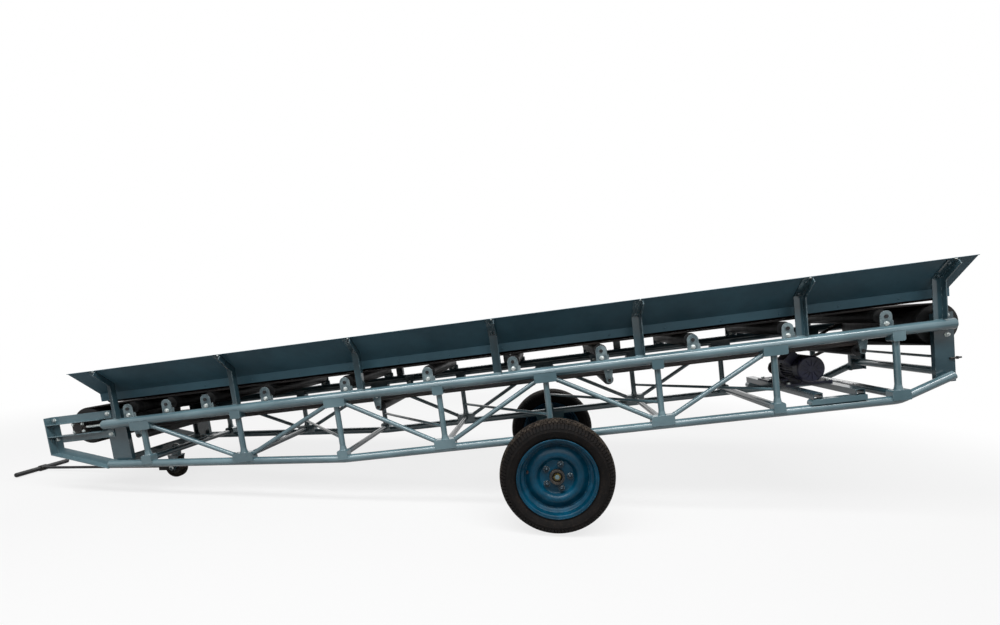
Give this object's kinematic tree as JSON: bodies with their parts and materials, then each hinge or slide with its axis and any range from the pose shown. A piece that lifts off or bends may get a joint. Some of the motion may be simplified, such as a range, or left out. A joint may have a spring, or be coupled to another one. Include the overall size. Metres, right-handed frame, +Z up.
{
  "type": "portable belt conveyor",
  "caption": "Wheeled truss-frame belt conveyor with flared side skirts, flat belt on rollers, two road wheels and a steered tail castor with a tow handle.",
  "frame": {"origin": "centre of the bounding box, on the ground", "axes": "+X towards the raised head end, +Y to the machine's left, +Z up"},
  "size_m": [5.9856, 1.408, 1.5262],
  "materials": {
    "painted_steel": "grey-blue gloss paint, lightly worn",
    "skirt_paint": "dark slate paint on sheet",
    "galvanised": "zinc-plated",
    "roller_steel": "dark rolled steel",
    "cast_parts": "oiled cast iron",
    "belt_rubber": "matt black rubber",
    "seal_rubber": "dark red-black rubber",
    "tyre_rubber": "dusty tyre rubber",
    "rim_paint": "blue gloss paint",
    "motor_paint": "dark blue paint on castings",
    "dark_steel": "worn black paint"
  },
  "bodies": {
    "frame": {"axle_beam": "painted_steel", "axle_bracket_left": "painted_steel", "axle_bracket_right": "painted_steel", "belt": "belt_rubber", "carrying_brackets": "galvanised", "carrying_rollers": "roller_steel", "castor_beam": "painted_steel", "cross_members": "painted_steel", "drive_chain": "cast_parts", "head_bearing_left": "cast_parts", "head_bearing_right": "cast_parts", "head_drum": "roller_steel", "head_plate_left": "painted_steel", "head_plate_right": "painted_steel", "head_tie": "painted_steel", "lower_chord_left": "painted_steel", "lower_chord_right": "painted_steel", "motor": "motor_paint", "motor_rails": "painted_steel", "motor_seat_left": "painted_steel", "motor_seat_right": "painted_steel", "plan_braces": "painted_steel", "reducer": "motor_paint", "return_brackets": "galvanised", "return_rollers": "roller_steel", "skirt_posts_left": "painted_steel", "skirt_posts_right": "painted_steel", "skirt_rubber_left": "seal_rubber", "skirt_rubber_right": "seal_rubber", "skirt_sheet_left": "skirt_paint", "skirt_sheet_right": "skirt_paint", "sprockets": "cast_parts", "tail_bearing_left": "cast_parts", "tail_bearing_right": "cast_parts", "tail_drum": "roller_steel", "tail_frame_left": "painted_steel", "tail_frame_right": "painted_steel", "tail_plate_left": "painted_steel", "tail_plate_right": "painted_steel", "top_chord_left": "painted_steel", "top_chord_right": "painted_steel", "truss_diagonals_left": "painted_steel", "truss_diagonals_right": "painted_steel", "truss_verticals_left": "painted_steel", "truss_verticals_right": "painted_steel", "wheel_lock_nut_left": "cast_parts", "wheel_lock_nut_right": "cast_parts"},
    "wheel_right": {"wheel_tyre_right": "tyre_rubber", "wheel_rim_right": "rim_paint", "wheel_hub_right": "cast_parts"},
    "wheel_left": {"wheel_tyre_left": "tyre_rubber", "wheel_rim_left": "rim_paint", "wheel_hub_left": "cast_parts"},
    "fork": {"castor_fork": "painted_steel"},
    "castor_wheel": {"castor_hub": "cast_parts", "castor_tyre": "tyre_rubber"},
    "drawbar": {"drawbar": "dark_steel", "drawbar_grip": "dark_steel"}
  },
  "joints": [
    {"name": "wheel_right_spin", "type": "hinge", "parent": "frame", "child": "wheel_right", "pos_m": [0.80055, -0.609, 0.316], "axis": [0, 1, 0], "continuous": true},
    {"name": "wheel_left_spin", "type": "hinge", "parent": "frame", "child": "wheel_left", "pos_m": [0.80055, 0.609, 0.316], "axis": [0, 1, 0], "continuous": true},
    {"name": "castor_swivel", "type": "hinge", "parent": "frame", "child": "fork", "pos_m": [-1.91178, 0, 0.21366], "axis": [0, 0, 1], "range_deg": [-35, 35]},
    {"name": "castor_spin", "type": "hinge", "parent": "fork", "child": "castor_wheel", "pos_m": [-1.91178, 0, 0.075], "axis": [0, 1, 0], "continuous": true},
    {"name": "drawbar_pitch", "type": "hinge", "parent": "fork", "child": "drawbar", "pos_m": [-1.91178, 0, 0.075], "axis": [0, 1, 0], "range_deg": [0, 25]}
  ]
}
